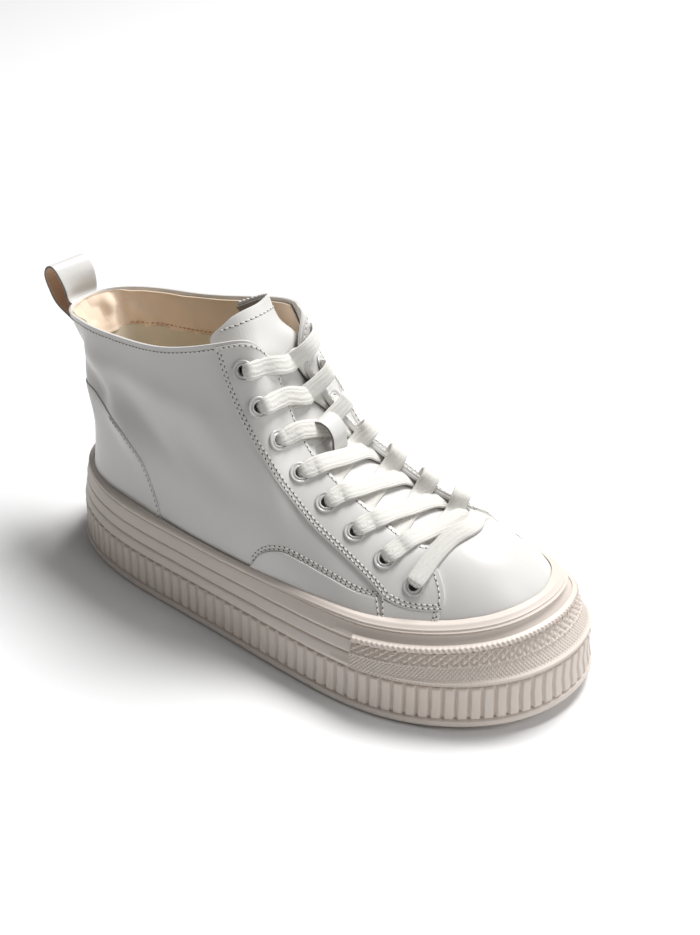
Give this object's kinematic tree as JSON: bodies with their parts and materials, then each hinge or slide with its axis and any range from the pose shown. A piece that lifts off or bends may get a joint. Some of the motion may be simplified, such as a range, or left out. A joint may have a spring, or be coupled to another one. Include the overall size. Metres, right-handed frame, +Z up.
{
  "type": "ankle boot",
  "caption": "Right lace-up ankle boot in smooth white leather on a thick ribbed rubber platform sole, with a padded tongue, flat laces and a pull loop at the heel.",
  "frame": {"origin": "on the flat of the tread, at mid-length of the sole", "axes": "+X towards the toe, +Y towards the medial side, +Z up from the floor"},
  "size_m": [0.3028, 0.1156, 0.156],
  "materials": {
    "leather": "smooth full-grain, white",
    "rubber": "matte, cream white",
    "lining": "soft, beige",
    "lace_cotton": "flat woven, white",
    "eyelet_metal": "light grey"
  },
  "bodies": {
    "root": {"outsole": "rubber", "midsole": "rubber", "toe_bumper": "rubber", "insole": "lining", "upper": "leather", "eyestay_lateral": "leather", "eyestay_medial": "leather", "quarter_lateral": "leather", "quarter_medial": "leather", "tip_lateral": "leather", "tip_medial": "leather", "counter_lateral": "leather", "counter_medial": "leather", "tongue": "leather", "heel_strap": "leather", "lace_keeper": "leather", "eyelet_l1": "eyelet_metal", "eyelet_l2": "eyelet_metal", "eyelet_l3": "eyelet_metal", "eyelet_l4": "eyelet_metal", "eyelet_l5": "eyelet_metal", "eyelet_l6": "eyelet_metal", "eyelet_l7": "eyelet_metal", "eyelet_l8": "eyelet_metal", "eyelet_m1": "eyelet_metal", "eyelet_m2": "eyelet_metal", "eyelet_m3": "eyelet_metal", "eyelet_m4": "eyelet_metal", "eyelet_m5": "eyelet_metal", "eyelet_m6": "eyelet_metal", "eyelet_m7": "eyelet_metal", "eyelet_m8": "eyelet_metal", "lace_bar": "lace_cotton", "lace_cross_1": "lace_cotton", "lace_cross_2": "lace_cotton", "lace_cross_3": "lace_cotton", "lace_cross_4": "lace_cotton", "lace_cross_5": "lace_cotton", "lace_cross_6": "lace_cotton", "lace_cross_7": "lace_cotton"}
  },
  "joints": []
}
